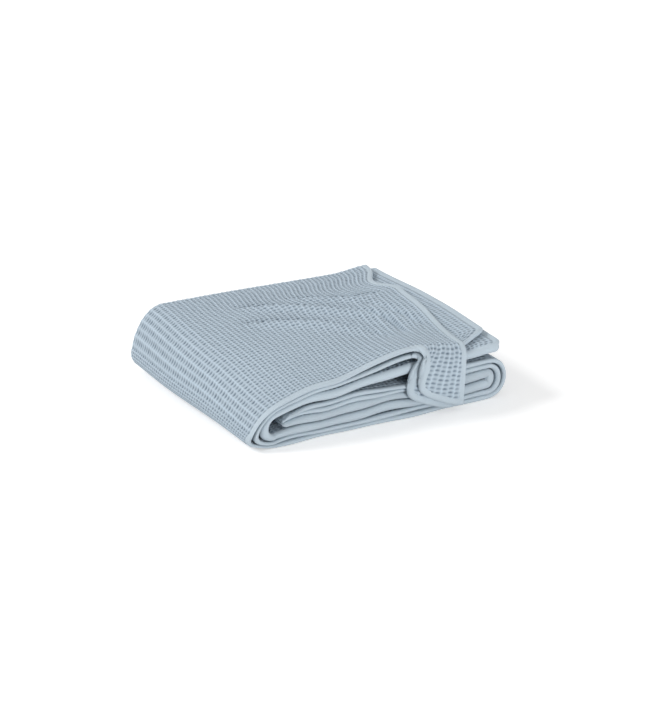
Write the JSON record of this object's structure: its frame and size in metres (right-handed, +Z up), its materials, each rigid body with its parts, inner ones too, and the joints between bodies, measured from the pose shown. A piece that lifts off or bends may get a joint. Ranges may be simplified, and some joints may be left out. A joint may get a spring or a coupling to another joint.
{
  "type": "folded throw blanket",
  "caption": "Woven throw blanket folded into a flat stack, quartered one way and then in thirds, with one front corner hanging over the front edge.",
  "frame": {"origin": "on the resting surface, below the middle of the bounding box", "axes": "+X along the front edge towards the right-hand fold, +Y from the front hems to the back folds, +Z up"},
  "size_m": [0.4456, 0.3879, 0.1054],
  "materials": {
    "woven_cloth": "matte, softly fuzzy ladder weave, pale dusty blue",
    "hem_band": "matte, smooth turned and stitched edge, pale dusty blue"
  },
  "bodies": {
    "stack": {"bottom_third_back_fold_inner": "woven_cloth", "bottom_third_back_fold_outer": "woven_cloth", "bottom_third_front_fold": "woven_cloth", "bottom_third_front_hem_layer_1": "hem_band", "bottom_third_front_hem_layer_2": "hem_band", "bottom_third_layer_1": "woven_cloth", "bottom_third_layer_2": "woven_cloth", "bottom_third_layer_3": "woven_cloth", "bottom_third_layer_4": "woven_cloth", "left_fold_layer_1": "woven_cloth", "left_fold_layer_2": "woven_cloth", "left_fold_layer_3": "woven_cloth", "left_fold_layer_4": "woven_cloth", "middle_third_back_fold_inner": "woven_cloth", "middle_third_back_fold_outer": "woven_cloth", "middle_third_end_hem_layer_1": "hem_band", "middle_third_end_hem_layer_2": "hem_band", "middle_third_end_hem_layer_3": "hem_band", "middle_third_end_hem_layer_4": "hem_band", "middle_third_front_fold": "woven_cloth", "middle_third_front_hem_layer_1": "hem_band", "middle_third_front_hem_layer_2": "hem_band", "middle_third_layer_1": "woven_cloth", "middle_third_layer_2": "woven_cloth", "middle_third_layer_3": "woven_cloth", "middle_third_layer_4": "woven_cloth", "right_fold_layer_1": "woven_cloth", "right_fold_layer_2": "woven_cloth", "right_fold_layer_3": "woven_cloth", "right_fold_layer_4": "woven_cloth"},
    "top_third": {"top_third_back_fold_inner": "woven_cloth", "top_third_back_fold_outer": "woven_cloth", "top_third_end_hem_layer_1": "hem_band", "top_third_end_hem_layer_2": "hem_band", "top_third_end_hem_layer_3": "hem_band", "top_third_end_hem_layer_4": "hem_band", "top_third_front_fold": "woven_cloth", "top_third_front_hem_layer_1": "hem_band", "top_third_front_hem_layer_2": "hem_band", "top_third_layer_1": "woven_cloth", "top_third_layer_2": "woven_cloth", "top_third_layer_3": "woven_cloth", "top_third_layer_4": "woven_cloth", "hanging_corner_bend_layer_1": "woven_cloth", "hanging_corner_bend_layer_2": "woven_cloth"},
    "front_corner": {"hanging_corner_hem_layer_1": "hem_band", "hanging_corner_hem_layer_2": "hem_band", "hanging_corner_layer_1": "woven_cloth", "hanging_corner_layer_2": "woven_cloth"}
  },
  "joints": [
    {"name": "top_third_open", "type": "hinge", "parent": "stack", "child": "top_third", "pos_m": [-0.1768, 0, 0.0462], "axis": [0, -1, 0], "range_deg": [0, 176], "deforming": ["left_fold_layer_1", "left_fold_layer_2", "left_fold_layer_3", "left_fold_layer_4"]},
    {"name": "front_corner_lift", "type": "hinge", "parent": "top_third", "child": "front_corner", "pos_m": [0.107, -0.1783, 0.077], "axis": [-1, 0, 0], "range_deg": [0, 90], "deforming": ["hanging_corner_bend_layer_1", "hanging_corner_bend_layer_2"]}
  ]
}
